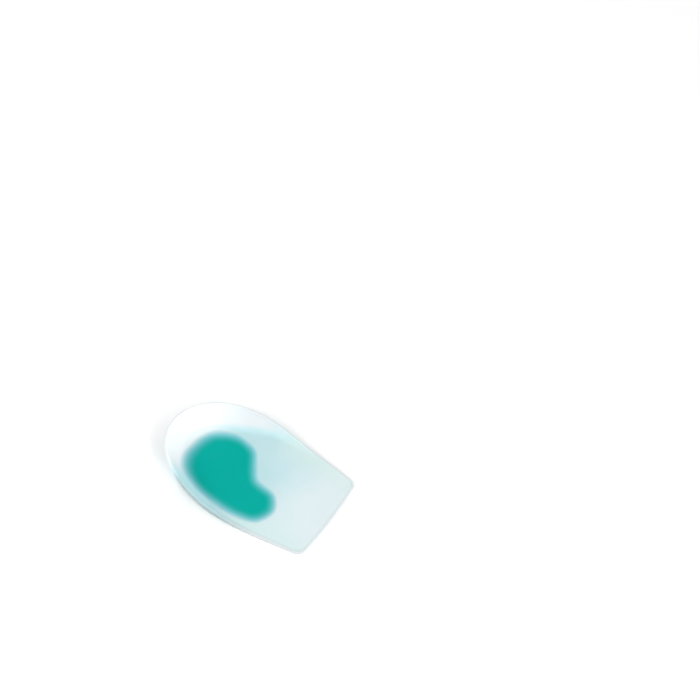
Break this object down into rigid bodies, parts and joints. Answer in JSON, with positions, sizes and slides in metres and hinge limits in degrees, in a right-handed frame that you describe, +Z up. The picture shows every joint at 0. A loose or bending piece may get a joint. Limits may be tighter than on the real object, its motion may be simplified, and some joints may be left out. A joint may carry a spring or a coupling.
{
  "type": "heel cup",
  "caption": "Clear gel heel cup with a flat sole, a flared wall round the heel and a softer kidney-shaped insert.",
  "frame": {"origin": "under the middle of the bounding box, on the surface that the flat sole rests on", "axes": "+X from the heel tip to the straight front edge, +Z up from the sole, +Y to the side away from the insert's tail"},
  "size_m": [0.1, 0.067, 0.017],
  "materials": {
    "clear_gel": "satin, milky clear silicone gel",
    "teal_gel": "satin, opaque soft gel"
  },
  "bodies": {
    "root": {"cup_shell": "clear_gel", "soft_insert": "teal_gel"}
  },
  "joints": []
}
